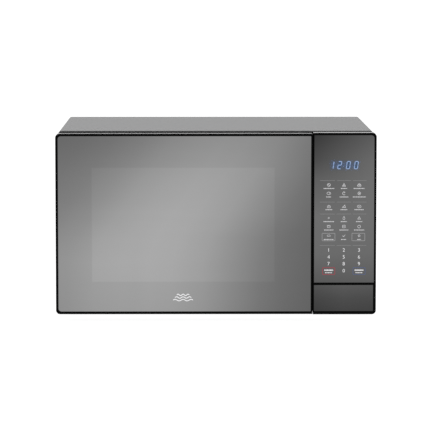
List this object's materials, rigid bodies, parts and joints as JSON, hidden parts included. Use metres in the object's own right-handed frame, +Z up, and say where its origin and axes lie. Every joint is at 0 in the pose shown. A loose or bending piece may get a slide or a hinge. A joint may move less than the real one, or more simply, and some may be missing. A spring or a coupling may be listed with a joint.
{
  "type": "microwave oven",
  "caption": "Countertop microwave oven with a mirror-glass side-hinged door, touch panel, door push button and glass turntable tray.",
  "frame": {"origin": "middle of the overall footprint, on the surface the feet stand on", "axes": "+X to the right seen from the front, +Y to the back, +Z up; the door faces -Y"},
  "size_m": [0.513, 0.43, 0.304],
  "materials": {
    "case_paint": "fine satin powder coat",
    "galvanised_steel": "zinc-coated sheet",
    "cavity_enamel": "smooth grey enamel",
    "mirror_glass": "mirror coating on tempered glass",
    "black_gloss": "high-gloss black moulding",
    "dark_plastic": "fine matt moulding",
    "panel_glass": "smoked mirror glass",
    "button_gloss": "metallic dark gloss",
    "screen_steel": "black perforated sheet",
    "clear_window": "clear film",
    "foil": "printed film",
    "display_housing": "display with light segments",
    "circuit_board": "solder-masked board",
    "board_parts": "moulded components",
    "white_plastic": "smooth white moulding",
    "steel": "bright steel",
    "spring_steel": "drawn wire",
    "aluminium": "rolled sheet",
    "ferrite": "dark fired ceramic",
    "mica": "flaky mica sheet",
    "core_steel": "varnished laminations",
    "winding": "varnished copper wire",
    "lamp_glass": "clear bulb",
    "rubber": "moulded rubber",
    "tray_glass": "pressed tempered glass"
  },
  "bodies": {
    "root": {"outer_case": "case_paint", "case_screws": "steel", "base_plate": "galvanised_steel", "feet": "rubber", "rear_panel": "galvanised_steel", "rear_spacers": "dark_plastic", "power_inlet_grommet": "dark_plastic", "front_plate": "cavity_enamel", "oven_cavity": "cavity_enamel", "hinge_brackets": "steel", "panel_housing": "black_gloss", "panel_glass": "panel_glass", "touch_foil": "foil", "display_module": "display_housing", "control_board": "circuit_board", "board_components": "board_parts", "panel_screws": "steel", "button_spring": "spring_steel", "latch_board": "white_plastic", "door_switches": "board_parts", "waveguide": "galvanised_steel", "mica_cover": "mica", "magnetron_yoke": "galvanised_steel", "magnetron_anode": "steel", "magnetron_magnets": "ferrite", "magnetron_fins": "aluminium", "magnetron_filter_box": "galvanised_steel", "transformer_core": "core_steel", "transformer_windings": "winding", "capacitor": "aluminium", "capacitor_clamp": "galvanised_steel", "high_voltage_diode": "board_parts", "fan_shroud": "galvanised_steel", "fan_motor": "core_steel", "lamp_holder": "galvanised_steel", "lamp_bulb": "lamp_glass", "thermal_cutouts": "board_parts", "noise_filter_board": "circuit_board", "turntable_motor": "steel"},
    "door": {"door_frame": "black_gloss", "door_glass": "mirror_glass", "door_choke_panel": "galvanised_steel", "door_screen": "screen_steel", "door_choke_cover": "dark_plastic", "door_inner_window": "clear_window", "hinge_pins": "steel", "latch_spring": "spring_steel"},
    "latch": {"door_latch": "white_plastic"},
    "button": {"door_button": "button_gloss"},
    "lever": {"release_lever": "white_plastic"},
    "primary_plunger": {"primary_switch_plunger": "white_plastic"},
    "monitor_plunger": {"monitor_switch_plunger": "white_plastic"},
    "secondary_plunger": {"secondary_switch_plunger": "white_plastic"},
    "coupler": {"turntable_coupler": "white_plastic"},
    "tray": {"glass_tray": "tray_glass"},
    "ring": {"roller_ring": "white_plastic"},
    "wheel_1": {"roller_1": "white_plastic"},
    "wheel_2": {"roller_2": "white_plastic"},
    "wheel_3": {"roller_3": "white_plastic"},
    "fan": {"fan_blade": "white_plastic"}
  },
  "joints": [
    {"name": "door_hinge", "type": "hinge", "parent": "root", "child": "door", "pos_m": [-0.244, -0.191, 0.155], "axis": [0, 0, -1], "range_deg": [0, 105]},
    {"name": "latch_lift", "type": "slide", "parent": "door", "child": "latch", "axis": [0, 0, 1], "range_m": [0, 0.004], "stiffness_N_per_m": 400, "springref_m": -0.001, "deforming": ["latch_spring"]},
    {"name": "button_press", "type": "slide", "parent": "root", "child": "button", "axis": [0, 1, 0], "range_m": [0, 0.005], "stiffness_N_per_m": 600, "springref_m": -0.002, "deforming": ["button_spring"]},
    {"name": "lever_tilt", "type": "hinge", "parent": "root", "child": "lever", "pos_m": [0.156, -0.166, 0.058], "axis": [1, 0, 0], "range_deg": [0, 14]},
    {"name": "turntable_spin", "type": "hinge", "parent": "root", "child": "coupler", "pos_m": [-0.052, 0.008, 0.04], "axis": [0, 0, 1], "continuous": true},
    {"name": "tray_lift", "type": "slide", "parent": "coupler", "child": "tray", "axis": [0, 0, 1], "range_m": [0, 0.03]},
    {"name": "ring_spin", "type": "hinge", "parent": "root", "child": "ring", "pos_m": [-0.052, 0.008, 0.0453], "axis": [0, 0, 1], "continuous": true},
    {"name": "fan_spin", "type": "hinge", "parent": "root", "child": "fan", "pos_m": [0.188, 0.179, 0.225], "axis": [0, 1, 0], "continuous": true},
    {"name": "roller_1_spin", "type": "hinge", "parent": "ring", "child": "wheel_1", "pos_m": [0.0314, 0.05615, 0.0453], "axis": [0.866, 0.5, 0], "continuous": true},
    {"name": "roller_2_spin", "type": "hinge", "parent": "ring", "child": "wheel_2", "pos_m": [-0.1354, 0.05615, 0.0453], "axis": [-0.866, 0.5, 0], "continuous": true},
    {"name": "roller_3_spin", "type": "hinge", "parent": "ring", "child": "wheel_3", "pos_m": [-0.052, -0.0883, 0.0453], "axis": [0, -1, 0], "continuous": true},
    {"name": "primary_plunger_press", "type": "slide", "parent": "root", "child": "primary_plunger", "axis": [0, 1, 0], "range_m": [0, 0.001], "stiffness_N_per_m": 300, "springref_m": -0.0005},
    {"name": "monitor_plunger_press", "type": "slide", "parent": "root", "child": "monitor_plunger", "axis": [0, 1, 0], "range_m": [0, 0.001], "stiffness_N_per_m": 300, "springref_m": -0.0005},
    {"name": "secondary_plunger_press", "type": "slide", "parent": "root", "child": "secondary_plunger", "axis": [0, 1, 0], "range_m": [0, 0.001], "stiffness_N_per_m": 300, "springref_m": -0.0005}
  ],
  "couplings": [
    {"joint": "lever_tilt", "follows": "button_press", "rad_per_m": 48.869},
    {"joint": "latch_lift", "follows": "button_press", "ratio": 0.8},
    {"joint": "ring_spin", "follows": "turntable_spin", "ratio": 0.5},
    {"joint": "roller_1_spin", "follows": "turntable_spin", "ratio": 6.0187},
    {"joint": "roller_2_spin", "follows": "turntable_spin", "ratio": 6.0187},
    {"joint": "roller_3_spin", "follows": "turntable_spin", "ratio": 6.0187}
  ]
}
